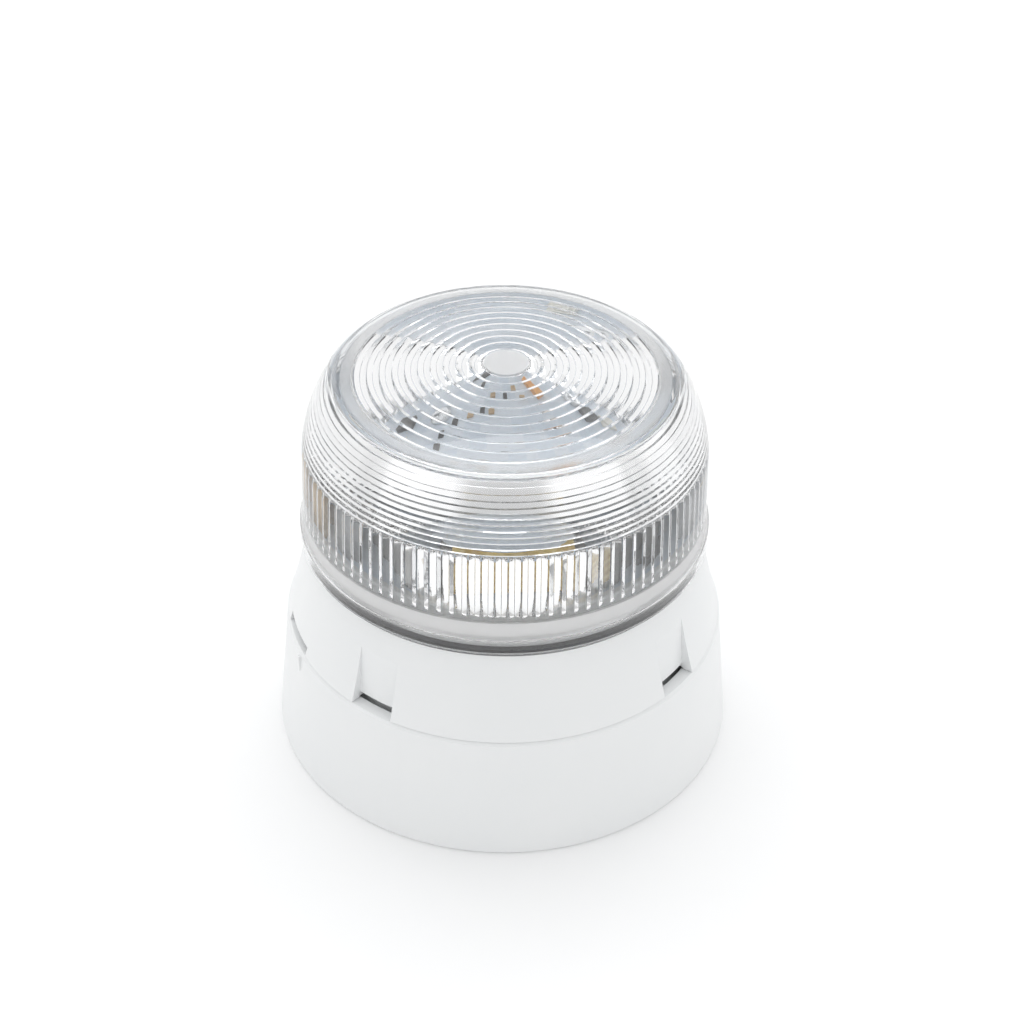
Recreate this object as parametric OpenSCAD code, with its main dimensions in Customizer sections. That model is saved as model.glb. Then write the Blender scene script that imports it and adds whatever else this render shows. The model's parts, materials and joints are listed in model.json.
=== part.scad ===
// Round sounder-beacon: a deep mounting base, a twist-on head that holds the sounder and the
// driver electronics, and a clear bayonet lens over a ring of light-emitting diodes.
// Azimuths are in degrees from the front (-Y), positive towards +X.

/* [Base] */
// Diameter of the base at the wall
base_d = 93; // [88:0.5:98]
// Diameter of the base at its rim
rim_d = 87.9; // [84:0.1:90]
// Height of the base up to its rim
rim_z = 26.7; // [24:0.1:32]
// Diameter of the hollow inside the base
cavity_d = 82.4; // [80:0.1:83]
// Thickness of the floor of the base
floor_t = 3; // [2:0.5:4]
// Circle of the four fixing holes
fixing_pcd = 60; // [54:1:64]
// Diameter of each fixing hole
fixing_hole_d = 4.5; // [3.5:0.1:5]
// Diameter of the rear cable entry
rear_entry_d = 20; // [12:1:22]
// Diameter of the knockout in the back of the wall
knockout_d = 14; // [10:1:15]

/* [Head] */
// Height of the head's top ledge above the wall
ledge_z = 44.9; // [44:0.1:46]
// Diameter of the head at its top ledge
ledge_d = 78.9; // [78:0.1:79.4]
// Diameter of the skirt at its bottom edge
skirt_d = 87.3; // [86:0.1:87.8]
// Share of the skirt's slope that is straight, the rest curves outwards
skirt_straight = 0.65; // [0.4:0.05:1]
// Thickness of the skirt
skirt_t = 2; // [1.6:0.1:2.4]
// Azimuth of the two finger pockets from the centre line
pocket_az = 43.9; // [35:0.1:50]
// Angle across one pocket
pocket_w = 12.3; // [8:0.1:16]
// Height of the top of a pocket
pocket_top_z = 38.5; // [34:0.5:40]
// Azimuth of the release notch
notch_az = -80; // [-90:1:-70]
// Angle across the release notch
notch_w = 16; // [8:1:18]
// Height of the release notch
notch_h = 2; // [1:0.5:3]
// Angle the head turns to unlock
head_turn = 24; // [22:1:26]

/* [Lens] */
// Height of the whole device
top_z = 84.2; // [80:0.1:90]
// Diameter of the flange round the foot of the lens
flange_d = 80.9; // [80.6:0.1:81.4]
// Diameter of the lens wall at its foot
wall_foot_d = 79.8; // [79.6:0.1:80]
// Diameter of the lens wall at its top
wall_top_d = 78.9; // [78.6:0.1:79.2]
// Wall thickness of the lens
lens_t = 2; // [1.8:0.1:2.2]
// Height of the underside of the flange
flange_z = 45.8; // [45.6:0.1:46]
// Height of the flange
flange_h = 3.7; // [3.4:0.1:3.8]
// Height where the straight wall meets the shoulder
shoulder_z = 65.5; // [62:0.5:68]
// Diameter where the shoulder meets the smooth band of the top
shoulder_top_d = 64.4; // [60:0.5:68]
// How far the domed top rises from that band to its centre
dome_rise = 2.9; // [2:0.1:4]

/* [Electronics] */
// Height of the underside of the driver board
driver_board_z = 51; // [50.5:0.1:51.5]
// Height of the underside of the lamp board
lamp_board_z = 63.6; // [63:0.1:64.5]
// Height of the underside of the control board
control_board_z = 31.6; // [31:0.1:32]
// Thickness of every board
board_t = 1.6; // [1:0.1:1.6]
// Number of lamps on the lamp board
lamp_count = 8; // [4:1:12]

/* [Hidden] */
$fn = 96;

eps = 0.01;
collar_h = 2;           // collar round the rear entry

// head and base engagement
seam = 0.2;             // shadow gap between skirt and rim
skirt_z = rim_z + seam;
ring_ro = 39.2;         // bayonet ring of the head
ring_ri = 37.2;
ring_z = 19;
gap_top_z = 34.5;       // top of the gap between the ring and the skirt
lug_ro = 40.8;          // lugs of the bayonet ring
lug_z = ring_z + 0.4;
lug_h = 2;
lug_w = 18;
catch_ri = 39.5;        // ledges of the base that hold the lugs
catch_z = lug_z + lug_h + 0.4;
catch_h = 2;
catch_w = 20;
stop_w = 2.6;
turns = [0, 90, 180, 270];

// head top
spigot_ro = 36.6;
spigot_ri = 34.8;
spigot_z = 54;
seat_ro = 36.9;         // seat of the lens seal
seat_h = 2.5;
gasket_ro = 39.2;       // flat ring under the lens flange
gasket_gap = 0.02;
deck_z = 46;
deck_t = 2;
lens_ledge_ro = 37.6;   // ledges that hold the lens lugs
lens_ledge_z = 50.2;
lens_ledge_h = 1.4;
lens_ledge_w = 16;
lens_lug_ri = 36.9;
lens_lug_z = 48.4;
lens_lug_h = 1.5;
lens_lug_w = 14;
lens_az = -50;          // azimuth of the first lens lug

// the pockets' back wall leans from here at the foot to there at the top
back_foot_r = 41.2;
back_top_r = 40.45;
back_inner_r = 39.8;
slit_h = 1.2;           // sound slit at the foot of a pocket
side_wall = 2;          // degrees of wall beside a pocket

// boards
driver_board_r = 34.2;
lamp_board_r = 34.8;
control_board_r = 36.4;
pillars = [[22.3, 80], [19.2, -77], [22, 150]]; // radius and azimuth of each
hang_r = 31.5;
hang_az = [60, 180, 300];
m3_r = 1.5;
pilot_r = 1.25;

// sounder
cup_ro = 23;
cup_t = 2;
cup_z = 34.2;
mouth_r = 7;
plate_z = 40;
plate_r = 20.6;
clamp_ri = 19.3;

// terminals
ways = 4;
way_pitch = 7.5;
block_y = -25;
block_z = 5;
block_h = 12;
block_d = 12;

// tone switch and volume trimmer, on the underside of the control board
switch_at = [-12, 20];
slider_pitch = 2.54;
slider_travel = 1.6;
trimmer_at = [14, 21];

white = [0.93, 0.94, 0.94];
board_white = [0.86, 0.89, 0.93];
steel = [0.74, 0.75, 0.77];
brass = [0.82, 0.66, 0.32];
clear = [0.85, 0.9, 0.95, 0.35];

// angle in OpenSCAD's own sense for an azimuth
function turn(a) = a - 90;

// outer radius of the skirt at a height: part straight line, part parabola
function skirt_r(z) =
    let (t = (ledge_z - z) / (ledge_z - skirt_z))
    ledge_d / 2 + (skirt_d - ledge_d) / 2 * (skirt_straight * t + (1 - skirt_straight) * t * t);

function steps(lo, hi, n) = [for (i = [0 : n]) lo + (hi - lo) * i / n];

// a sector of a turned outline, centred on an azimuth
module sector(azimuth, width) {
    rotate([0, 0, turn(azimuth) - width / 2])
        rotate_extrude(angle = width)
            children();
}

module block_rz(r0, r1, z0, z1) {
    polygon([[r0, z0], [r1, z0], [r1, z1], [r0, z1]]);
}

module tube(ro, ri, z0, h) {
    translate([0, 0, z0])
        difference() {
            cylinder(r = ro, h = h);
            translate([0, 0, -1]) cylinder(r = ri, h = h + 2);
        }
}

// moves its children to a radius and azimuth, turned to face outwards
module at(radius, azimuth, z = 0) {
    rotate([0, 0, turn(azimuth)])
        translate([radius, 0, z])
            children();
}

// a box centred in X and Y that stands on z = 0
module brick(size) {
    translate([-size[0] / 2, -size[1] / 2, 0]) cube(size);
}

// pan-head screw with a cross recess, head at z = 0 upwards, shank downwards
module screw(shank_r, shank_l, head_r, head_h) {
    difference() {
        union() {
            translate([0, 0, -shank_l]) cylinder(r = shank_r, h = shank_l + eps, $fn = 32);
            cylinder(r = head_r, h = head_h * 0.6, $fn = 48);
            translate([0, 0, head_h * 0.6])
                cylinder(r1 = head_r, r2 = head_r * 0.75, h = head_h * 0.4, $fn = 48);
        }
        for (a = [0, 90])
            rotate([0, 0, a])
                translate([0, 0, head_h * 0.4]) brick([head_r * 1.1, head_r * 0.28, head_h]);
    }
}

// ---------------------------------------------------------------- base

module mounting_base() {
    cavity_r = cavity_d / 2;
    entry_r = rear_entry_d / 2;
    block_x = ways * way_pitch / 2 + 3.5;
    color(white)
    difference() {
        union() {
            // floor, wall and the collar round the rear entry
            rotate_extrude()
                polygon([[entry_r, 0], [base_d / 2 - 0.5, 0], [base_d / 2, 0.5],
                    [rim_d / 2 + 0.05, rim_z - 0.5], [rim_d / 2 - 0.45, rim_z], [cavity_r, rim_z],
                    [cavity_r, floor_t], [entry_r + 1.8, floor_t],
                    [entry_r + 1.8, floor_t + collar_h], [entry_r, floor_t + collar_h]]);
            // ledges over the lugs of the head, each with a stop at its closed end
            for (a = turns) {
                sector(a, catch_w)
                    block_rz(catch_ri, cavity_r + 0.6, catch_z, catch_z + catch_h);
                sector(a - catch_w / 2 - stop_w / 2 + 0.5, stop_w)
                    block_rz(catch_ri + 0.3, cavity_r + 0.9, lug_z - 2, catch_z + catch_h / 2);
            }
            // raised rings round the fixing holes
            for (a = [45 : 90 : 315])
                at(fixing_pcd / 2, a, floor_t - 1) cylinder(r = 4.5, h = 2.2);
            // posts for the terminal block
            for (x = [-block_x, block_x])
                translate([x, block_y, floor_t - 1]) cylinder(r = 2.8, h = block_z + 1 - floor_t + 1);
            // setting mark under the release notch
            at(rim_d / 2, notch_az + 6, rim_z - 4.2) brick([1.2, 0.7, 3.6]);
        }
        for (a = [45 : 90 : 315])
            at(fixing_pcd / 2, a, -1) cylinder(r = fixing_hole_d / 2, h = floor_t + 4, $fn = 48);
        for (x = [-block_x, block_x])
            translate([x, block_y, 1]) cylinder(r = pilot_r, h = 10, $fn = 32);
        // knockout outline in the back of the wall
        translate([0, base_d / 2 + 2, floor_t + 1.5 + knockout_d / 2])
            rotate([90, 0, 0])
                difference() {
                    cylinder(r = knockout_d / 2, h = 4.6);
                    translate([0, 0, -1]) cylinder(r = knockout_d / 2 - 0.8, h = 7);
                }
    }
}

function way_x(i) = (i - (ways - 1) / 2) * way_pitch;

module terminal_block() {
    half = ways * way_pitch / 2;
    color([0.25, 0.5, 0.36])
    difference() {
        union() {
            translate([0, block_y, block_z]) brick([half * 2, block_d, block_h]);
            for (x = [-half - 3.5, half + 3.5])
                translate([x, block_y, block_z + 1]) cylinder(r = 3.4, h = 2.4);
            for (s = [-1, 1])
                translate([s * (half + 1.6), block_y, block_z + 1]) brick([3.6, 5, 2.4]);
        }
        for (i = [0 : ways - 1]) {
            translate([way_x(i), block_y - 1.5, block_z + 3]) cylinder(r = 2.5, h = block_h);
            translate([way_x(i), block_y - 5.2, block_z + 2]) brick([4.4, 12, 4.4]);
            translate([way_x(i), block_y + 4, block_z + 4]) brick([4.4, 0.9, block_h]);
        }
        for (x = [-half - 3.5, half + 3.5])
            translate([x, block_y, block_z]) cylinder(r = 1.7, h = 5, $fn = 32);
    }
}

module terminal_cages() {
    color(steel)
    for (i = [0 : ways - 1])
        translate([way_x(i), block_y - 1.5, block_z + 2.1])
            difference() {
                brick([4.1, 4.2, 4.2]);
                translate([0, 0, 0.7]) brick([2.9, 6, 2.6]);
                translate([0, 0, 3]) cylinder(r = 1.35, h = 3, $fn = 32);
            }
}

module terminal_screws() {
    color(steel)
    for (i = [0 : ways - 1])
        translate([way_x(i), block_y - 1.5, block_z + block_h - 3.4])
            difference() {
                union() {
                    cylinder(r = 2.2, h = 2, $fn = 48);
                    translate([0, 0, -4.2]) cylinder(r = 1.25, h = 4.3, $fn = 32);
                }
                translate([0, 0, 1.2]) brick([5, 0.7, 2]);
            }
}

module terminal_block_screws() {
    color(steel)
    for (s = [-1, 1])
        translate([s * (ways * way_pitch / 2 + 3.5), block_y, block_z + 3.4])
            screw(1.2, 4.5, 2.6, 1.8);
}

// a leaf from each terminal up to the pads of the head, bent over at its top
module contact_springs() {
    leaf_t = 0.5;
    leaf_y = block_y + 4;
    top = control_board_z - 0.6;
    color(brass)
    for (i = [0 : ways - 1])
        translate([way_x(i), leaf_y, 0]) {
            translate([0, 0, block_z + 4.2]) brick([4, leaf_t, top - block_z - 4.2]);
            translate([0, -3.25, top - leaf_t]) brick([4, 7, leaf_t]);
        }
}

// ---------------------------------------------------------------- head

// half section of the whole moulding: deck, bayonet ring, skirt, ledge, seal seat and spigot
function head_section() =
    let (outer = steps(skirt_z, ledge_z, 12), inner = steps(gap_top_z, skirt_z, 8))
    concat(
        [[0, deck_z], [spigot_ri, deck_z], [spigot_ri, ledge_z - 2.2], [ring_ri, ledge_z - 2.2],
            [ring_ri, ring_z], [ring_ro, ring_z], [ring_ro, gap_top_z]],
        [for (z = inner) [skirt_r(z) - skirt_t, z]],
        [for (z = outer) [skirt_r(z), z]],
        [[seat_ro, ledge_z], [seat_ro, ledge_z + seat_h], [spigot_ro, ledge_z + seat_h + 0.3],
            [spigot_ro, spigot_z - 0.4], [spigot_ro - 0.4, spigot_z], [spigot_ri, spigot_z],
            [spigot_ri, deck_z + deck_t], [0, deck_z + deck_t]]);

// solid wall behind a pocket, which the pocket is then cut into
module pocket_block(azimuth) {
    foot = skirt_z + 0.3;
    top = gap_top_z + 1;
    sector(azimuth, pocket_w + 2 * side_wall)
        polygon([[back_inner_r, foot], [skirt_r(foot) - 1, foot], [skirt_r(top) - 1, top],
            [back_inner_r, top]]);
}

// the hollow of a pocket, with the sound slit under its back wall
module pocket_cut(azimuth) {
    far_r = base_d / 2 + 2;
    sector(azimuth, pocket_w)
        polygon([[back_inner_r - 0.4, rim_z - 1], [far_r, rim_z - 1], [far_r, pocket_top_z + 0.6],
            [back_top_r, pocket_top_z + 0.6], [back_foot_r, skirt_z + slit_h],
            [back_inner_r - 0.4, skirt_z + slit_h]]);
}

pocket_azimuths = [-pocket_az, pocket_az, 180 - pocket_az, 180 + pocket_az];

module head_housing() {
    pillar_foot = deck_z + deck_t - 1;
    hang_foot = control_board_z + board_t;
    color(white)
    difference() {
        union() {
            rotate_extrude() polygon(head_section());
            for (a = pocket_azimuths) pocket_block(a);
            for (a = turns)
                sector(a, lug_w) block_rz(ring_ro - 0.5, lug_ro, lug_z, lug_z + lug_h);
            for (a = turns)
                sector(lens_az + a, lens_ledge_w)
                    block_rz(spigot_ro - 0.5, lens_ledge_ro, lens_ledge_z, lens_ledge_z + lens_ledge_h);
            for (p = pillars)
                at(p[0], p[1], pillar_foot)
                    cylinder(r = 3, h = driver_board_z - pillar_foot, $fn = 48);
            for (a = hang_az)
                at(hang_r, a, hang_foot) cylinder(r = 3, h = deck_z + 1 - hang_foot, $fn = 48);
        }
        for (a = pocket_azimuths) pocket_cut(a);
        for (p = pillars)
            at(p[0], p[1], deck_z + 0.6) cylinder(r = pilot_r, h = 20, $fn = 32);
        for (a = hang_az)
            at(hang_r, a, control_board_z) cylinder(r = pilot_r, h = 12, $fn = 32);
        // hole for the leads between the boards
        translate([0, 27.5, deck_z - 1]) cylinder(r = 3, h = deck_t + 2, $fn = 48);
        // release notch
        sector(notch_az, notch_w)
            block_rz(ring_ro + 0.8, base_d / 2 + 2, rim_z - 1, skirt_z + notch_h);
    }
}

module lens_seal() {
    color([0.06, 0.06, 0.07])
    tube(gasket_ro, seat_ro + gasket_gap, ledge_z + gasket_gap, flange_z - ledge_z - 3 * gasket_gap);
}

// ---------------------------------------------------------------- sounder

module sounder_cup() {
    color([0.12, 0.12, 0.13])
    rotate_extrude()
        polygon([[mouth_r, cup_z], [cup_ro - 0.6, cup_z], [cup_ro, cup_z + 0.6], [cup_ro, deck_z],
            [cup_ro - cup_t, deck_z], [cup_ro - cup_t, plate_z], [clamp_ri, plate_z],
            [clamp_ri, plate_z - 1.6], [cup_ro - cup_t - 0.5, plate_z - 2.8],
            [cup_ro - cup_t - 0.5, cup_z + 1.6], [mouth_r, cup_z + 1.6]]);
}

module piezo_plate() {
    color(brass) translate([0, 0, plate_z]) cylinder(r = plate_r, h = 0.3);
}

module piezo_ceramic() {
    color([0.9, 0.88, 0.82]) translate([0, 0, plate_z + 0.3]) cylinder(r = 12.5, h = 0.3);
}

module piezo_clamp_ring() {
    color([0.2, 0.2, 0.21]) tube(cup_ro - cup_t - 0.05, clamp_ri, plate_z + 0.3, deck_z - plate_z - 0.3);
}

module sounder_coil() {
    color([0.1, 0.1, 0.1])
    at(30, -40, control_board_z + board_t)
        union() {
            cylinder(r = 4.2, h = 1.2);
            cylinder(r = 3, h = 9);
            translate([0, 0, 7.8]) cylinder(r = 4.2, h = 1.2);
        }
}

// two leads from the ceramic up to the deck
module piezo_leads() {
    color([0.75, 0.12, 0.1])
    for (s = [-1, 1])
        translate([s * 4, 8, plate_z + 0.6])
            cylinder(r = 0.55, h = deck_z - plate_z - 0.6, $fn = 16);
}

// ---------------------------------------------------------------- control board

module control_board() {
    color([0.16, 0.42, 0.26])
    difference() {
        translate([0, 0, control_board_z]) cylinder(r = control_board_r, h = board_t);
        translate([0, 0, control_board_z - 1]) cylinder(r = 15, h = board_t + 2);
        for (a = hang_az)
            at(hang_r, a, control_board_z - 1) cylinder(r = m3_r + 0.15, h = board_t + 2, $fn = 32);
    }
}

module control_board_screws() {
    color(steel)
    for (a = hang_az)
        at(hang_r, a, control_board_z) rotate([180, 0, 0]) screw(pilot_r, 7, 2.8, 2);
}

module contact_pads() {
    color(brass)
    for (i = [0 : ways - 1])
        sector(atan2(way_x(i), -(block_y + 1)), 12)
            block_rz(21.5, 28, control_board_z - 0.15, control_board_z);
}

module tone_switch() {
    body_h = 3.4;
    color([0.72, 0.12, 0.1])
    translate([switch_at[0], switch_at[1], control_board_z - body_h])
        difference() {
            brick([4 * slider_pitch + 1.6, 6.4, body_h]);
            for (i = [0 : 3])
                translate([slider_x(i), 0, -1]) brick([1.7, 3.6, 2.8]);
        }
}

function slider_x(i) = (i - 1.5) * slider_pitch;

module tone_slider(i) {
    color(white)
    translate([switch_at[0] + slider_x(i), switch_at[1] - slider_travel / 2, control_board_z - 4])
        brick([1.4, 1.4, 2.2]);
}

module tone_slider_1() { tone_slider(0); }
module tone_slider_2() { tone_slider(1); }
module tone_slider_3() { tone_slider(2); }
module tone_slider_4() { tone_slider(3); }

module volume_trimmer() {
    body_h = 3.6;
    color([0.2, 0.36, 0.62])
    translate([trimmer_at[0], trimmer_at[1], control_board_z - body_h])
        difference() {
            brick([7, 7, body_h]);
            translate([0, 0, -1]) cylinder(r = 2.45, h = 2.6, $fn = 48);
        }
}

module volume_rotor() {
    color(brass)
    translate([trimmer_at[0], trimmer_at[1], control_board_z - 4])
        difference() {
            cylinder(r = 2.4, h = 1.9, $fn = 48);
            translate([0, 0, -1]) brick([3.6, 0.7, 1.8]);
        }
}

// a short bundle of leads through the deck, from the control board to the driver board
module board_link_leads() {
    color([0.15, 0.15, 0.16])
    for (x = [-1.4, 0, 1.4])
        translate([x, 27.5, control_board_z + board_t])
            cylinder(r = 0.6, h = driver_board_z - control_board_z - board_t, $fn = 16);
}

// ---------------------------------------------------------------- driver board

comp_z = driver_board_z + board_t;

module driver_board() {
    color(board_white)
    difference() {
        translate([0, 0, driver_board_z]) cylinder(r = driver_board_r, h = board_t);
        for (p = pillars)
            at(p[0], p[1], driver_board_z - 1)
                cylinder(r = m3_r + 0.15, h = board_t + 2, $fn = 32);
    }
}

// threaded pillars carry the lamp board; their studs go through the driver board into the deck
module board_pillars() {
    color(brass)
    for (p = pillars)
        at(p[0], p[1], comp_z)
            difference() {
                union() {
                    cylinder(r = 2.75, h = lamp_board_z - comp_z, $fn = 6);
                    translate([0, 0, -4]) cylinder(r = pilot_r, h = 4.1, $fn = 32);
                }
                translate([0, 0, lamp_board_z - comp_z - 6]) cylinder(r = pilot_r, h = 8, $fn = 32);
            }
}

module transformer_core() {
    color([0.16, 0.16, 0.17])
    at(23, -4.75, comp_z)
        difference() {
            brick([13, 29, 9.4]);
            for (s = [-1, 1])
                translate([0, s * 9.05, 1.1]) brick([20, 6.1, 7.4]);
        }
}

module transformer_winding() {
    color([0.86, 0.68, 0.24])
    at(23, -4.75, comp_z)
        difference() {
            translate([0, 0, 1.2]) brick([16.5, 24, 7.2]);
            brick([13.1, 12.1, 10]);
        }
}

module film_capacitors() {
    color([0.78, 0.6, 0.38])
    for (a = [-91, -75, 122])
        at(28.5, a, comp_z) brick([8, 5, 10]);
}

module smoothing_capacitors() {
    color([0.52, 0.53, 0.55])
    for (a = [-58.5, 59, 100])
        at(28.5, a, comp_z)
            union() {
                cylinder(r = 4, h = 9.4, $fn = 48);
                translate([0, 0, 9.4 - eps]) cylinder(r = 3.4, h = 0.5, $fn = 48);
            }
}

module choke() {
    color([0.14, 0.13, 0.13])
    at(28, 35.8, comp_z)
        union() {
            cylinder(r = 3.2, h = 1.4);
            cylinder(r = 2.4, h = 9);
            translate([0, 0, 7.6]) cylinder(r = 3.2, h = 1.4);
        }
}

module lead_connector() {
    color(white)
    translate([0, 27.5, comp_z])
        difference() {
            brick([11, 6, 7.5]);
            translate([0, 0, 1.5]) brick([9.4, 4.2, 8]);
            for (x = [-2.5, 0, 2.5])
                translate([x, 0, -1]) cylinder(r = 0.6, h = 4, $fn = 24);
        }
}

// ---------------------------------------------------------------- lamp board

lamp_top = lamp_board_z + board_t;

module lamp_board() {
    color(board_white)
    difference() {
        translate([0, 0, lamp_board_z]) cylinder(r = lamp_board_r, h = board_t);
        for (p = pillars)
            at(p[0], p[1], lamp_board_z - 1)
                cylinder(r = m3_r + 0.15, h = board_t + 2, $fn = 32);
    }
}

module lamp_board_screws() {
    color(steel)
    for (p = pillars)
        at(p[0], p[1], lamp_top) screw(1.2, 5, 2.6, 1.8);
}

module lamps() {
    color([0.96, 0.95, 0.86])
    for (i = [0 : lamp_count - 1])
        at(29, (i + 0.5) * 360 / lamp_count, lamp_top)
            union() {
                brick([3.5, 3.5, 0.9]);
                translate([0, 0, 0.9 - eps]) cylinder(r1 = 1.5, r2 = 1.1, h = 0.6, $fn = 32);
            }
}

module controller_chip() {
    color([0.1, 0.1, 0.11])
    translate([-12, 9, lamp_top]) brick([6.2, 5, 1.5]);
}

module tantalum_capacitor() {
    color([0.92, 0.62, 0.3])
    translate([10.2, -0.7, lamp_top])
        rotate([0, 0, 25]) brick([2.8, 6, 2.4]);
}

module shielded_inductors() {
    color([0.13, 0.13, 0.13])
    for (p = [[-27, -4.8], [22.6, -8.9]])
        translate([p[0], p[1], lamp_top]) brick([3.6, 3.6, 2]);
}

module chip_resistors() {
    color([0.15, 0.15, 0.17])
    for (p = [[-0.6, -2.6], [-9.2, 3], [-7.5, -5.6], [-14.6, -7.2], [-17.7, -10], [-18.5, -13.7]])
        translate([p[0], p[1], lamp_top]) brick([1.3, 2, 0.5]);
}

module chip_capacitors() {
    color([0.72, 0.6, 0.45])
    for (p = [[2.7, -0.5], [5, -3.4], [-10.7, -6.1], [-4.6, -1.5], [15, 6], [-5, -6.2]])
        translate([p[0], p[1], lamp_top]) brick([1.6, 1.2, 0.9]);
}

// ---------------------------------------------------------------- lens

shoulder_top_z = top_z - dome_rise;
shoulder_bow = 1.29;    // 1 is a quarter ellipse, larger is flatter

function shoulder(a, r0, r1, z0, z1) =
    [r0 + (r1 - r0) * pow(sin(a), shoulder_bow), z1 + (z0 - z1) * pow(cos(a), shoulder_bow)];

// outline from the centre of the top down to the foot of the wall, at a depth inside the surface
function lens_line(depth) =
    let (rt = shoulder_top_d / 2 - depth * 0.8, zt = shoulder_top_z - depth,
        rw = wall_top_d / 2 - depth)
    concat(
        [for (r = steps(0, rt, 6)) [r, zt + dome_rise * (1 - pow(r / rt, 2))]],
        [for (a = [6 : 6 : 90]) shoulder(a, rt, rw, zt, shoulder_z)]);

module lens() {
    foot = flange_z + flange_h;
    outer = lens_line(0);
    inner = lens_line(lens_t);
    collar_ri = wall_foot_d / 2 - lens_t;
    color(clear)
    union() {
        rotate_extrude()
            polygon(concat(outer,
                [[wall_foot_d / 2, foot + 0.5], [flange_d / 2 - 0.3, foot], [flange_d / 2, foot - 0.4],
                    [flange_d / 2, flange_z + 0.3], [flange_d / 2 - 0.3, flange_z], [collar_ri, flange_z],
                    [collar_ri, foot]],
                [for (i = [len(inner) - 1 : -1 : 0]) inner[i]]));
        for (a = turns)
            sector(lens_az + a, lens_lug_w)
                block_rz(lens_lug_ri, collar_ri + 0.3, lens_lug_z, lens_lug_z + lens_lug_h);
    }
}

mounting_base();
terminal_block();
terminal_cages();
terminal_screws();
terminal_block_screws();
contact_springs();
head_housing();
lens_seal();
sounder_cup();
piezo_plate();
piezo_ceramic();
piezo_clamp_ring();
sounder_coil();
piezo_leads();
control_board();
control_board_screws();
contact_pads();
tone_switch();
tone_slider_1();
tone_slider_2();
tone_slider_3();
tone_slider_4();
volume_trimmer();
volume_rotor();
board_link_leads();
driver_board();
transformer_core();
transformer_winding();
film_capacitors();
smoothing_capacitors();
choke();
lead_connector();
board_pillars();
lamp_board();
lamp_board_screws();
lamps();
controller_chip();
tantalum_capacitor();
shielded_inductors();
chip_resistors();
chip_capacitors();
lens();
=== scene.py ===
"""Round sounder-beacon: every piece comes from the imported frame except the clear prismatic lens, which is
worked out here. Lengths of the lens are millimetres, and MM brings them to metres."""
import json
import math

import bpy
import numpy as np
from mathutils import Matrix, Vector


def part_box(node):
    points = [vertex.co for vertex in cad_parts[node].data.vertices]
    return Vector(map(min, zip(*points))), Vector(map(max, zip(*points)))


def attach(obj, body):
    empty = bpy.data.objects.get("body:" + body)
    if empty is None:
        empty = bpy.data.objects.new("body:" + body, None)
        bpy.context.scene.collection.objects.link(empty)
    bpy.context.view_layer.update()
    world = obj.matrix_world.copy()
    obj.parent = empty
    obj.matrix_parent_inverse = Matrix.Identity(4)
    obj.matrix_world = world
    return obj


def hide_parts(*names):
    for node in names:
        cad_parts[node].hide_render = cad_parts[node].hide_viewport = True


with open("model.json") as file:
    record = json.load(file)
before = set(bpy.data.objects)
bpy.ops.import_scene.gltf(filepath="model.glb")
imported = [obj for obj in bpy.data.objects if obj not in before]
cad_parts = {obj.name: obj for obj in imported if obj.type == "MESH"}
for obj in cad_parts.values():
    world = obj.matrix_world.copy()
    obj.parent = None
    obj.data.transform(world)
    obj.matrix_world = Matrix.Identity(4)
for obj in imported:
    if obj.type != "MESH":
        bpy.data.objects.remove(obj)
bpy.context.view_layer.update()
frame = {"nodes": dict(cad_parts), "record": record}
MM = 0.001


# ---------------------------------------------------------------- mesh helpers


def outline_grid(columns, rows):
    """Quads between the rows of a grid of points numbered row by row; the columns close on themselves."""
    i, j = np.meshgrid(np.arange(rows - 1), np.arange(columns), indexing="ij")
    k = (j + 1) % columns
    this, following = i * columns, (i + 1) * columns
    return np.stack([this + j, this + k, following + k, following + j], -1).reshape(-1, 4)


def smooth_mesh(name, points, faces, material):
    """Mesh of one material, shaded smooth, from points in millimetres."""
    mesh = bpy.data.meshes.new(name)
    mesh.from_pydata((np.asarray(points) * MM).tolist(), [], faces)
    mesh.materials.append(material)
    mesh.polygons.foreach_set("use_smooth", np.ones(len(mesh.polygons), bool))
    return mesh


def place(name, data):
    """New object of the scene that carries the data."""
    thing = bpy.data.objects.new(name, data)
    bpy.context.scene.collection.objects.link(thing)
    return thing


def mark_sharp(mesh, choose):
    """Marks the edges for which choose(first vertices, second vertices) is true."""
    ends = np.empty(len(mesh.edges) * 2, np.int32)
    mesh.edges.foreach_get("vertices", ends)
    flags = choose(ends[0::2], ends[1::2])
    mark = mesh.attributes.get("sharp_edge") or mesh.attributes.new("sharp_edge", "BOOLEAN", "EDGE")
    mark.data.foreach_set("value", flags)


# ---------------------------------------------------------------- materials


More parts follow.
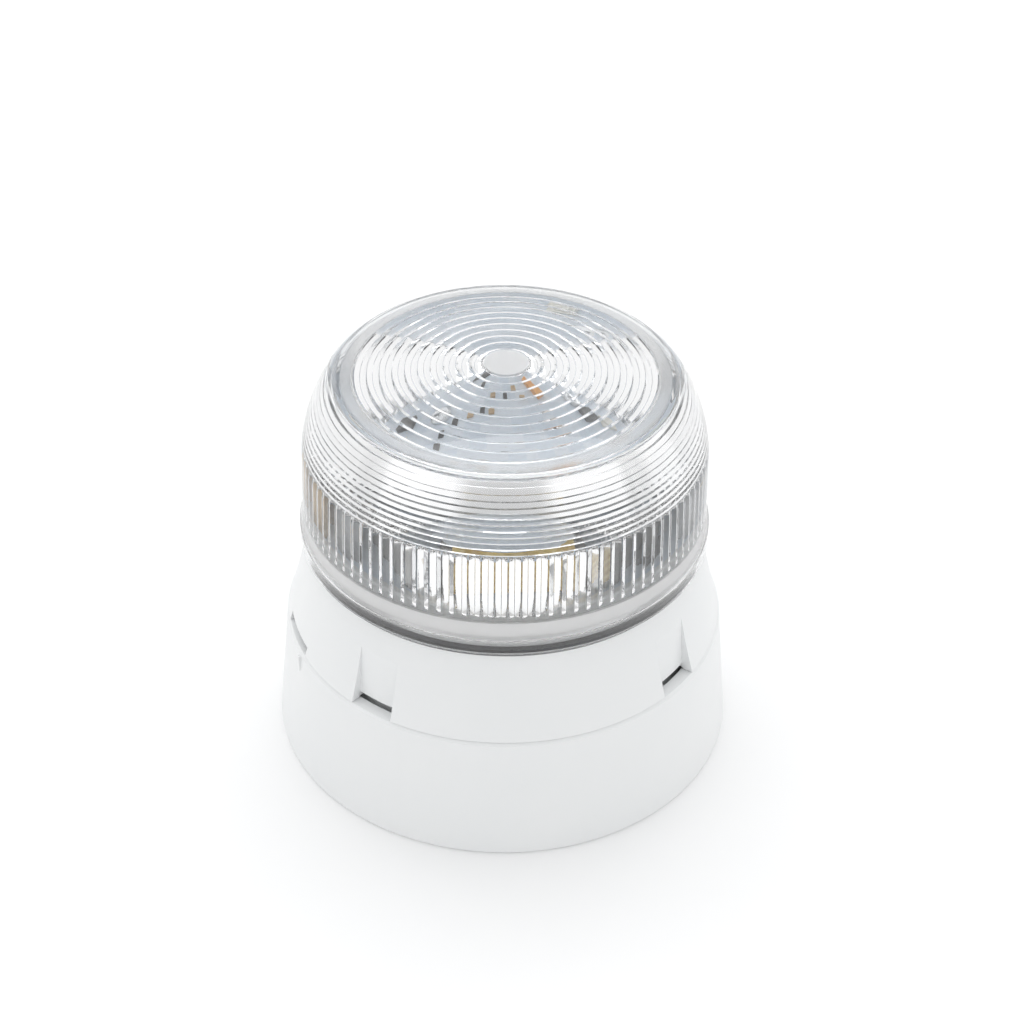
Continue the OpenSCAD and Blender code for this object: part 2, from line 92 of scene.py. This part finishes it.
class Nodes:
    """A material's node tree with short calls for the nodes that are used again and again. Patterns read
    Object coordinates, so scales are per metre and lengths are metres."""

    def __init__(self, name):
        self.material = bpy.data.materials.new(name)
        self.material.use_nodes = True
        self.tree = self.material.node_tree
        self.shader = self.tree.nodes["Principled BSDF"]
        self.place = self.tree.nodes.new("ShaderNodeTexCoord").outputs["Object"]

    def add(self, kind, **inputs):
        """New node with its inputs set or linked by name, with an underscore for each space."""
        node = self.tree.nodes.new(kind)
        for key, value in inputs.items():
            self.feed(node.inputs[key.replace("_", " ")], value)
        return node

    def feed(self, socket, value):
        """Links another node's output to the socket, or sets a plain value."""
        if isinstance(value, bpy.types.NodeSocket):
            self.tree.links.new(value, socket)
        else:
            socket.default_value = value

    def noise(self, scale, detail=3.0, rough=0.55, stretch=None):
        """Soft noise, finer with a larger scale, and drawn out across an axis that the stretch multiplies."""
        at = self.place
        if stretch:
            at = self.add("ShaderNodeMapping", Vector=self.place, Scale=stretch).outputs["Vector"]
        cloud = self.add("ShaderNodeTexNoise", Vector=at, Scale=scale, Detail=detail, Roughness=rough)
        return cloud.outputs["Fac"]

    def spread(self, fac, low, high, from_low=0.3, from_high=0.7):
        """Straight change from low to high while fac goes from from_low to from_high, and level beyond."""
        node = self.add("ShaderNodeMapRange", Value=fac)
        ends = (("From Min", from_low), ("From Max", from_high), ("To Min", low), ("To Max", high))
        for key, value in ends:
            node.inputs[key].default_value = value
        return node.outputs["Result"]

    def mix(self, fac, first, second):
        """First colour where fac is 0, second colour where it is 1."""
        node = self.tree.nodes.new("ShaderNodeMix")
        node.data_type = "RGBA"
        for index, value in ((0, fac), (6, first), (7, second)):
            self.feed(node.inputs[index], value)
        return node.outputs[2]

    def math(self, operation, first, second=0.0):
        """One sum on two values or sockets."""
        node = self.tree.nodes.new("ShaderNodeMath")
        node.operation = operation
        self.feed(node.inputs[0], first)
        self.feed(node.inputs[1], second)
        return node.outputs[0]

    def bump(self, height, distance, strength=1.0):
        """Relief of the surface, as deep as the distance."""
        node = self.add("ShaderNodeBump", Height=height, Strength=strength, Distance=distance)
        self.tree.links.new(node.outputs["Normal"], self.shader.inputs["Normal"])

    def finish(self, color, roughness, metallic=0.0, ior=1.5):
        """Feeds the shader and hands back the material."""
        self.feed(self.shader.inputs["Base Color"], color)
        self.feed(self.shader.inputs["Roughness"], roughness)
        self.shader.inputs["Metallic"].default_value = metallic
        self.shader.inputs["IOR"].default_value = ior
        return self.material


def tone(r, g, b):
    """Opaque colour."""
    return (r, g, b, 1.0)


def mottled(name, dark, light, patch, low, high, grain, depth):
    """Plain moulded or cast finish: two close tones in soft patches, gloss from low to high roughness in
    patches of their own, and a fine grain."""
    n = Nodes(name)
    color = n.mix(n.spread(n.noise(patch, 4.0), 0, 1), tone(*dark), tone(*light))
    n.bump(n.noise(grain, 2.0, 0.6), depth)
    return n.finish(color, n.spread(n.noise(patch * 2.3), low, high))


def white_housing():
    """Satin white polycarbonate with a spark-eroded grain and a few faint specks."""
    n = Nodes("white_housing")
    grain = n.noise(2600.0, 2.0, 0.6)
    color = n.mix(n.spread(n.noise(35.0), 0, 1), tone(0.835, 0.848, 0.852), tone(0.855, 0.864, 0.865))
    specks = n.add("ShaderNodeTexVoronoi", Vector=n.place, Scale=240.0).outputs["Distance"]
    spots = n.spread(specks, 1.0, 0.0, 0.012, 0.03)
    rare = n.spread(n.noise(60.0, 1.0), 0.0, 1.0, 0.66, 0.68)
    color = n.mix(n.math("MULTIPLY", n.math("MULTIPLY", spots, rare), 0.35), color, tone(0.45, 0.44, 0.42))
    n.bump(n.math("ADD", grain, n.math("MULTIPLY", n.noise(400.0), 0.3)), 0.00003, 0.6)
    return n.finish(color, n.spread(n.noise(180.0, 4.0), 0.3, 0.42))


def clear_lens():
    """Clear polished polycarbonate with flow marks too shallow to blur it. The disc at the middle of the
    top and the band round the top are made whiter and less clear. The foot of the wall is whitened too, as
    painted light that stands in for the lit spigot seen through it; the foot clears towards its lower edge."""
    n = Nodes("clear_lens")
    split = n.add("ShaderNodeSeparateXYZ", Vector=n.place)
    x, y, z = (split.outputs[axis] for axis in "XYZ")
    radius = n.math("SQRT", n.math("ADD", n.math("MULTIPLY", x, x), n.math("MULTIPLY", y, y)))
    disc = n.spread(radius, 1.0, 0.0, 0.0042, 0.0045)
    band_out, band_in = n.spread(radius, 0.0, 0.4, 0.0288, 0.0291), n.spread(radius, 1.0, 0.0, 0.0313, 0.0316)
    high_up = n.math("GREATER_THAN", z, 0.079)
    top = n.math("MULTIPLY", n.math("ADD", disc, n.math("MULTIPLY", band_out, band_in)), high_up)
    # Painted light: the foot band of the wall is whitened where the lit spigot behind it should show through
    painted_light_rise, painted_light_fall = n.spread(z, 0.0, 1.4, 0.0480, 0.0508), n.spread(z, 1.0, 0.0, 0.0528, 0.0533)
    whitened_and_painted_light = n.math("ADD", top, n.math("MULTIPLY", painted_light_rise, painted_light_fall))
    n.feed(n.shader.inputs["Transmission Weight"], n.math("SUBTRACT", 1.0, n.math("MULTIPLY", whitened_and_painted_light, 0.45)))
    n.bump(n.noise(90.0, 2.0), 0.00001, 0.25)
    color = n.mix(n.spread(n.noise(40.0), 0, 1), tone(0.988, 0.993, 0.998), tone(0.994, 0.997, 1.0))
    # White colour where the lens is whitened; on the foot of the wall this is painted light
    color = n.mix(whitened_and_painted_light, color, tone(0.9, 0.9, 0.9))
    rough = n.math("ADD", n.spread(n.noise(300.0), 0.0, 0.015), n.math("MULTIPLY", whitened_and_painted_light, 0.4))
    return n.finish(color, rough, ior=1.58)


def board(name, mask, copper, laminate, trace_scale):
    """Circuit board: solder mask over copper areas in right-angled patches, with small tinned vias and a
    trace of the laminate's own colour."""
    n = Nodes(name)
    areas = n.add("ShaderNodeTexVoronoi", Vector=n.place, Scale=trace_scale)
    areas.distance = "CHEBYCHEV"
    step = n.spread(areas.outputs["Distance"], 0, 1, 0.42, 0.46)
    color = n.mix(step, mask, copper)
    vias = n.add("ShaderNodeTexVoronoi", Vector=n.place, Scale=trace_scale * 1.7).outputs["Distance"]
    color = n.mix(n.spread(vias, 0.8, 0.0, 0.05, 0.07), color, tone(0.62, 0.6, 0.52))
    color = n.mix(n.spread(n.noise(900.0, 2.0), 0.0, 0.25), color, laminate)
    n.bump(n.math("ADD", step, n.math("MULTIPLY", n.noise(1500.0), 0.3)), 0.00004)
    return n.finish(color, n.spread(n.noise(250.0), 0.28, 0.42))


def wound_tape():
    """Polyester tape wrapped in overlapping turns."""
    n = Nodes("winding_tape")
    turns = n.add("ShaderNodeTexWave", Vector=n.place, Scale=180.0, Distortion=1.2, Detail=2.0,
                  Detail_Scale=2.0)
    turns.bands_direction = "Z"
    color = n.mix(turns.outputs["Fac"], tone(0.72, 0.46, 0.1), tone(0.88, 0.66, 0.2))
    n.bump(turns.outputs["Fac"], 0.00008)
    return n.finish(color, n.spread(n.noise(200.0), 0.2, 0.35))


def plated(name, dark, light, scratch):
    """Plated or rolled metal: short directional scratches and slight tarnish."""
    n = Nodes(name)
    lines = n.noise(scratch, 4.0, 0.65, (1.0, 1.0, 9.0))
    color = n.mix(n.spread(n.noise(150.0), 0, 1), dark, light)
    n.bump(lines, 0.00002)
    return n.finish(color, n.spread(lines, 0.2, 0.4), metallic=1.0)


# Plain finishes: dark tone, light tone, scale of the patches, lowest and highest roughness, scale and
# depth of the grain
PLAIN = {
    "seal_rubber": ((0.012, 0.012, 0.014), (0.03, 0.03, 0.034), 120.0, 0.45, 0.62, 1800.0, 0.00004),
    "terminal_green": ((0.09, 0.3, 0.17), (0.13, 0.36, 0.22), 200.0, 0.35, 0.5, 2200.0, 0.00003),
    "black_plastic": ((0.02, 0.02, 0.022), (0.045, 0.045, 0.05), 160.0, 0.35, 0.5, 2300.0, 0.00003),
    "ceramic": ((0.72, 0.7, 0.62), (0.84, 0.82, 0.76), 180.0, 0.2, 0.35, 1500.0, 0.00002),
    "ferrite": ((0.12, 0.12, 0.125), (0.19, 0.188, 0.182), 300.0, 0.5, 0.7, 2600.0, 0.00006),
    "red_insulation": ((0.5, 0.04, 0.03), (0.66, 0.08, 0.06), 300.0, 0.35, 0.5, 1600.0, 0.00003),
    "black_insulation": ((0.02, 0.02, 0.02), (0.05, 0.05, 0.05), 300.0, 0.35, 0.5, 1600.0, 0.00003),
    "switch_red": ((0.42, 0.03, 0.03), (0.56, 0.06, 0.05), 250.0, 0.35, 0.5, 2000.0, 0.00003),
    "switch_white": ((0.76, 0.76, 0.73), (0.86, 0.86, 0.84), 250.0, 0.35, 0.5, 2000.0, 0.00003),
    "trimmer_blue": ((0.04, 0.12, 0.36), (0.07, 0.18, 0.46), 250.0, 0.3, 0.45, 2000.0, 0.00003),
    "film_tan": ((0.55, 0.36, 0.16), (0.7, 0.5, 0.26), 160.0, 0.2, 0.35, 900.0, 0.00006),
    "grey_sleeve": ((0.4, 0.41, 0.42), (0.54, 0.55, 0.56), 200.0, 0.2, 0.35, 1400.0, 0.00003),
    "lamp_package": ((0.84, 0.83, 0.76), (0.9, 0.89, 0.85), 400.0, 0.2, 0.35, 2400.0, 0.00003),
    "chip_black": ((0.015, 0.015, 0.016), (0.04, 0.04, 0.042), 400.0, 0.4, 0.6, 3000.0, 0.00004),
    "orange_epoxy": ((0.8, 0.33, 0.07), (0.9, 0.45, 0.13), 300.0, 0.25, 0.4, 2200.0, 0.00003),
    "chip_tan": ((0.42, 0.28, 0.14), (0.58, 0.42, 0.24), 500.0, 0.35, 0.5, 2600.0, 0.00003),
}


def make_materials():
    """One finish for each material slot of the record."""
    green = tone(0.03, 0.2, 0.09), tone(0.06, 0.3, 0.14), tone(0.2, 0.3, 0.15)
    white = tone(0.7, 0.78, 0.87), tone(0.78, 0.84, 0.91), tone(0.66, 0.71, 0.77)
    finishes = {name: mottled(name, *look) for name, look in PLAIN.items()}
    finishes["white_housing"] = white_housing()
    finishes["clear_lens"] = clear_lens()
    finishes["winding_tape"] = wound_tape()
    finishes["board_green"] = board("board_green", *green, 190.0)
    finishes["board_white"] = board("board_white", *white, 210.0)
    finishes["plated_steel"] = plated("plated_steel", tone(0.6, 0.61, 0.63), tone(0.76, 0.77, 0.78), 1500.0)
    finishes["spring_brass"] = plated("spring_brass", tone(0.62, 0.45, 0.2), tone(0.78, 0.62, 0.34), 1200.0)
    finishes["plate_brass"] = plated("plate_brass", tone(0.7, 0.5, 0.2), tone(0.85, 0.68, 0.34), 1300.0)
    return finishes


def dress_frame():
    """Gives every CAD node the finish of its own material slot."""
    slots = {part["node"]: part["material_slot"] for part in frame["record"]["subparts"]}
    for name, node in frame["nodes"].items():
        for index in range(len(node.data.materials)):
            node.data.materials[index] = MATERIALS[slots[name]]


# ---------------------------------------------------------------- lens

FLUTES = 100                    # upright ribs round the inside of the wall
RINGS = 10                      # V rings under the domed top
RIBS = 13                       # square ribs round the shoulder
PRISM = 47.0                    # slope of the two faces of every ring and flute, in degrees
LEAN = 6.0                      # lean of the risers of the shoulder ribs, in degrees
RING_PITCH = 2.4                # radial pitch of the rings
FIRST_RING = 7.15               # radius of the valley outside the innermost ring
SKIN = 0.65                     # thickness left over the valleys of the top
DOME_R = 32.2                   # radius of the domed top
DOME_DROP = 2.9                 # fall of the dome from its centre to that radius
SHOULDER_Z = 65.5               # height where the shoulder curve ends and the straight wall starts
SHOULDER_TOP = 81.3             # height of the outside curve at its start under the dome
FIRST_VALLEY = (31.6, 80.45)    # radius and height where the curve through the rib valleys starts
RIBS_END = 67.7                 # height where the shoulder ribs give way to the flutes
VALLEY_R = 38.5                 # radius of that curve at the end of the shoulder
OUTER_TOP_R = 39.45             # radius outside the wall at the end of the shoulder
OUTER_R = 39.9                  # radius outside the wall at its foot
INNER_R = 38.85                 # radius inside the plain foot
DRAFT = 0.45                    # how much the straight wall widens towards its foot
WALL_FOOT = 50.0                # height of the foot of the straight wall outside
LUG_R = 36.9                    # radius inside the four bayonet lugs
LUG_FIRST = -140                # azimuth of the first lug from the x axis, in degrees
LUG_HALF = 8.4                  # half width of a lug at its root, in degrees
LUG_SLOPE = 2.8                 # width of the sloping end of a lug, in degrees


def flute_angles():
    """Four azimuths for each flute: the two edges of its narrow valley, then the two edges of its crest."""
    share = np.array([-0.06, 0.06, 0.48, 0.52])
    return ((np.arange(FLUTES)[:, None] + share) * 2 * math.pi / FLUTES).ravel()


def lug_share(angles):
    """Share of each azimuth in one of the four lugs: 1 on a lug, 0 between them, sloping at the ends."""
    share = np.zeros(len(angles))
    for quarter in range(4):
        middle = math.radians(LUG_FIRST + 90 * quarter)
        away = np.degrees(np.abs((angles - middle + math.pi) % (2 * math.pi) - math.pi))
        share = np.maximum(share, np.clip((LUG_HALF - away) / LUG_SLOPE, 0, 1))
    return share


def superellipse(turn, r0, r1, z0, z1, bow=1.29):
    """Shoulder curve: radius grows with sin^bow and height falls with cos^bow of the turn."""
    return r0 + (r1 - r0) * np.sin(turn) ** bow, z1 + (z0 - z1) * np.cos(turn) ** bow


def dome(top, r):
    """Height of the domed top: it falls with the square of the radius."""
    return top - DOME_DROP * (r / DOME_R) ** 2


def ring_rows(top):
    """Underside of the top from its centre out: a flat disc, one symmetrical V ring for each pitch with a
    hair-wide flat in its valley and on its crest, then a plain band.
    Returns radius and height of each row."""
    lines = FIRST_RING + np.arange(-1, RINGS - 1) * RING_PITCH
    share = np.array([0.014, 0.485, 0.515, 0.986]) * RING_PITCH
    height = (share[1] - share[0]) * math.tan(math.radians(PRISM))
    disc_r, disc_depth = [0.4, 0.75, 0.95, 2.4, 4.1, 4.4], [0.1, 0.1, 0.0, 0.0, 0.0, 0.35]
    band_r, band_depth = [29.0, 29.3, 31.0], [0.0, 0.5, 0.5]
    r = np.concatenate([disc_r, (lines[:, None] + share).ravel(), band_r])
    depth = np.concatenate([disc_depth, np.tile([0.0, height, height, 0.0], RINGS), band_depth])
    return r, dome(top, r) - SKIN - depth


def valley_curve():
    """Shoulder curve through the valleys of its ribs, a little under the outside, in small steps."""
    turn = np.linspace(0.0, math.pi / 2, 600)
    return superellipse(turn, FIRST_VALLEY[0], VALLEY_R, FIRST_VALLEY[1], SHOULDER_Z)


def rib_rows():
    """Inside of the shoulder down to the flutes as small square steps between equally spaced points of the
    valley curve: each has a riser that leans by LEAN past upright and a tread at right angles to it.
    Returns radius and height of the rows."""
    r, z = valley_curve()
    keep = z > RIBS_END
    r, z = r[keep], z[keep]
    along = np.concatenate([[0], np.cumsum(np.hypot(np.diff(r), np.diff(z)))])
    at = np.linspace(0, along[-1], RIBS + 1)
    rr, zz = np.interp(at, along, r), np.interp(at, along, z)
    out, down = np.diff(rr), -np.diff(zz)
    lean = math.radians(LEAN)
    riser = np.maximum(down * math.cos(lean) - out * math.sin(lean), 0.05)
    corner_r, corner_z = rr[:-1] - riser * math.sin(lean), zz[:-1] - riser * math.cos(lean)
    rows_r = np.append(np.stack([rr[:-1], corner_r], 1).ravel(), rr[-1])
    rows_z = np.append(np.stack([zz[:-1], corner_z], 1).ravel(), zz[-1])
    return rows_r, rows_z


def valley_r(z):
    """Radius of the valleys between the flutes: the shoulder curve above, a straight taper below."""
    r, h = valley_curve()
    taper = VALLEY_R + (SHOULDER_Z - z) / 16.0 * DRAFT
    return np.where(z > SHOULDER_Z, np.interp(z, h[::-1], r[::-1]), taper)


def flute_rows():
    """Inside of the wall over the flutes: a crest stands in from the valleys by the height of a V prism. It
    grows over the first rows and dies out over the last. Returns radius for row and azimuth, and height."""
    crest = np.tile([0.0, 0.0, 1.0, 1.0], FLUTES)
    height = 0.42 * 2 * math.pi * VALLEY_R / FLUTES * math.tan(math.radians(PRISM))
    z = np.array([67.6, 67.25, 66.9, 66.4, 65.5, 62.0, 58.5, 54.1, 53.6, 53.3])
    grown = np.array([0.0, 0.4, 0.8, 1.0, 1.0, 1.0, 1.0, 1.0, 0.55, 0.0])
    return valley_r(z)[:, None] - height * grown[:, None] * crest, z


def lug_rows(foot, angles):
    """Inside of the foot over the bayonet lugs: it steps in to LUG_R on them and stays at INNER_R between
    them. Returns radius and height for row and azimuth."""
    r = INNER_R - (INNER_R - LUG_R) * lug_share(angles) * np.array([0.0, 1.0, 1.0, 0.0])[:, None]
    z = np.array([4.5, 3.9, 2.8, 2.4])[:, None] + foot + 0.0 * angles
    return r, z


def flange_rows(foot, rim):
    """Underside and rounded edge of the bottom flange, out and up to the foot of the wall.
    Returns radius and height of each row."""
    r = np.array([INNER_R, INNER_R, rim - 0.3, rim, rim, rim - 0.3, OUTER_R])
    return r, np.array([2.3, 0.0, 0.0, 0.3, 3.3, 3.7, 4.2]) + foot


def outside_rows():
    """Smooth outside: the straight wall, then the shoulder curve up to the dome.
    Returns radius and height of each row."""
    z_wall = np.array([54.0, 58.0, 62.0])
    r_wall = OUTER_R - (z_wall - WALL_FOOT) / (SHOULDER_Z - WALL_FOOT) * DRAFT
    turn = np.radians(np.linspace(90, 3, 26))
    r_round, z_round = superellipse(turn, DOME_R, OUTER_TOP_R, SHOULDER_TOP, SHOULDER_Z)
    return np.append(r_wall, r_round), np.append(z_wall, z_round)


def lens():
    """The clear lens as one closed surface: a half outline carried round the axis on the flute angles.
    It runs from the centre of the underside out over rings, shoulder ribs, flutes, lugs and flange, and
    back up the smooth outside to the centre of the top."""
    low, high = (np.array(corner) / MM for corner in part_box("lens"))
    foot, top, rim = low[2], high[2], high[0]
    angles = flute_angles()
    columns = len(angles)
    r_top = np.concatenate([[DOME_R], np.linspace(30, 0.4, 14)])
    plain = np.full(3, INNER_R), np.array([52.8, 51.6, foot + 4.6])
    outline = [ring_rows(top), rib_rows(), flute_rows(), plain, lug_rows(foot, angles),
               flange_rows(foot, rim), outside_rows(), (r_top, dome(top, r_top))]

    def carried(r, z):
        """Rows of points round the axis from one radius and height for each row, or for row and azimuth."""
        r = r[:, None] * np.ones(columns) if r.ndim == 1 else r
        z = z[:, None] * np.ones(columns) if z.ndim == 1 else z
        return np.stack([r * np.cos(angles), r * np.sin(angles), z], -1)

    grid = np.concatenate([carried(r, z) for r, z in outline])
    total = len(grid)
    poles = np.array([[0, 0, top - SKIN - 0.1], [0, 0, top]])
    points = np.concatenate([grid.reshape(-1, 3), poles])
    first = np.arange(columns)
    after = (first + 1) % columns
    last = (total - 1) * columns
    fan_in = np.stack([np.full(columns, total * columns), after, first], -1)
    fan_out = np.stack([np.full(columns, total * columns + 1), last + first, last + after], -1)
    faces = outline_grid(columns, total).tolist() + np.concatenate([fan_in, fan_out]).tolist()
    thing = place("lens_moulding", smooth_mesh("lens_moulding", points, faces, MATERIALS["clear_lens"]))
    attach(thing, "lens")
    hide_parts("lens")

    # Rows with a sharp edge all round are those of the rings, the ribs, the lugs and the flange; the upright
    # edges are sharp on the flutes.
    ring_end, rib_end, flute_end, plain_end, _, flange_end = np.cumsum([len(z) for _, z in outline[:6]])
    round_edge = np.zeros(total + 1, bool)
    round_edge[4:ring_end - 1] = True
    round_edge[ring_end:rib_end] = True
    round_edge[plain_end:flange_end] = True
    upright_edge = np.zeros(total + 1, bool)
    upright_edge[rib_end + 1:flute_end - 1] = True

    def choose(a, b):
        """Edges along a sharp row, and edges between rows where the upright ones are sharp."""
        row_a, row_b = a // columns, b // columns
        along = (row_a == row_b) & round_edge[row_a]
        upright = (row_a != row_b) & (upright_edge[row_a] | upright_edge[row_b])
        return along | (upright & (row_a < total) & (row_b < total))

    mark_sharp(thing.data, choose)


# ---------------------------------------------------------------- stage

CAMERA_SIDE = (-0.145, -0.989, 0)       # level direction from the device to the camera

# Place between the side behind the device, 0, and the camera's side, 1, with the brightness of the tent there
TENT = ((0.0, 1.0), (0.38, 0.95), (0.47, 0.72), (0.56, 0.8),
        (0.62, 1.12), (0.92, 1.1), (0.965, 0.66), (1.0, 0.6))


def floor():
    """Plain pale floor with the faintest unevenness."""
    n = Nodes("floor")
    color = n.mix(n.spread(n.noise(3.0), 0, 1), tone(0.92, 0.92, 0.92), tone(0.935, 0.935, 0.935))
    side = 6.0
    corners = [(-side, -side, 0), (side, -side, 0), (side, side, 0), (-side, side, 0)]
    mesh = bpy.data.meshes.new("floor")
    mesh.from_pydata(corners, [], [(0, 1, 2, 3)])
    mesh.materials.append(n.finish(color, 0.9))
    place("floor", mesh)


def camera():
    """Camera above the front, tipped down at the device, a little to its left."""
    yaw, pitch, roll, turned = (math.radians(v) for v in (0.24, 37.29, 0.75, -8.35))
    ahead = Vector((math.sin(yaw) * math.cos(pitch), math.cos(yaw) * math.cos(pitch), -math.sin(pitch)))
    right = ahead.cross(Vector((0, 0, 1))).normalized()
    up = right.cross(ahead)
    side = right * math.cos(roll) + up * math.sin(roll)
    above = up * math.cos(roll) - right * math.sin(roll)
    aim = Matrix((side, above, -ahead)).transposed().to_4x4()
    aim.translation = Vector((0, -0.3524, 0.3169))
    data = bpy.data.cameras.new("camera")
    data.lens, data.sensor_width = 78.43, 36.0
    data.clip_start, data.clip_end = 0.01, 50.0
    thing = place("camera", data)
    thing.matrix_world = Matrix.Rotation(turned, 4, "Z") @ aim
    bpy.context.scene.camera = thing


def soft_light(name, spot, size, power):
    """Rectangular panel that faces the middle of the device."""
    data = bpy.data.lights.new(name, "AREA")
    data.shape = "RECTANGLE"
    data.size, data.size_y = size
    data.energy = power
    thing = place(name, data)
    thing.location = spot
    thing.rotation_euler = (Vector((0, 0, 0.04)) - Vector(spot)).to_track_quat("-Z", "Y").to_euler()


def surroundings():
    """Tent with two broad bright panels left and right of the camera, a dim gap where the camera stands,
    a pale backdrop and a white ceiling. The level part of each direction, made one long, is compared with
    the camera's side by their dot product, and the ceiling fades in with height."""
    world = bpy.data.worlds.new("tent")
    world.use_nodes = True
    tree = world.node_tree

    def add(kind, **settings):
        node = tree.nodes.new(kind)
        for key, value in settings.items():
            setattr(node, key, value)
        return node

    background = tree.nodes["Background"]
    background.inputs["Strength"].default_value = 0.95
    direction = add("ShaderNodeTexCoord").outputs["Generated"]
    split = add("ShaderNodeSeparateXYZ")
    level = add("ShaderNodeVectorMath", operation="MULTIPLY")
    level.inputs[1].default_value = (1, 1, 0)
    unit = add("ShaderNodeVectorMath", operation="NORMALIZE")
    towards = add("ShaderNodeVectorMath", operation="DOT_PRODUCT")
    towards.inputs[1].default_value = CAMERA_SIDE
    share = add("ShaderNodeMapRange")
    share.inputs["From Min"].default_value = -1
    ramp = add("ShaderNodeValToRGB")
    stops = ramp.color_ramp.elements
    for spot, value in TENT[1:-1]:
        stops.new(spot).color = (value, value, value, 1)
    for stop, value in ((stops[0], TENT[0][1]), (stops[len(stops) - 1], TENT[-1][1])):
        stop.color = (value, value, value, 1)
    ceiling = add("ShaderNodeMapRange", interpolation_type="SMOOTHSTEP")
    ceiling.inputs["From Min"].default_value, ceiling.inputs["From Max"].default_value = 0.5, 0.85
    blend = add("ShaderNodeMix", data_type="RGBA")
    around, overhead = blend.inputs[6], blend.inputs[7]
    overhead.default_value = (0.9, 0.91, 0.92, 1)

    links = ((direction, split.inputs[0]), (direction, level.inputs[0]), (level.outputs[0], unit.inputs[0]),
             (unit.outputs[0], towards.inputs[0]), (towards.outputs["Value"], share.inputs["Value"]),
             (share.outputs[0], ramp.inputs["Fac"]), (ramp.outputs["Color"], around),
             (split.outputs["Z"], ceiling.inputs["Value"]), (ceiling.outputs[0], blend.inputs[0]),
             (blend.outputs[2], background.inputs["Color"]))
    for first, second in links:
        tree.links.new(first, second)
    bpy.context.scene.world = world


def lighting():
    """Large soft panels left, right and overhead behind, inside the tent."""
    surroundings()
    soft_light("left_panel", (-0.8, -0.15, 0.6), (0.7, 0.9), 0.15)
    soft_light("right_panel", (0.85, 0.1, 0.55), (0.6, 0.8), 0.15)
    soft_light("top_panel", (0.0, 0.35, 1.1), (1.0, 0.8), 4.6)


def light_paths():
    """Enough bounces for light to find its way through the prisms and back."""
    cycles = bpy.context.scene.cycles
    cycles.max_bounces, cycles.transmission_bounces = 24, 24
    cycles.diffuse_bounces, cycles.glossy_bounces = 8, 12


MATERIALS = make_materials()
dress_frame()
lens()
floor()
camera()
lighting()
bpy.context.scene.view_settings.view_transform = "Standard"
light_paths()
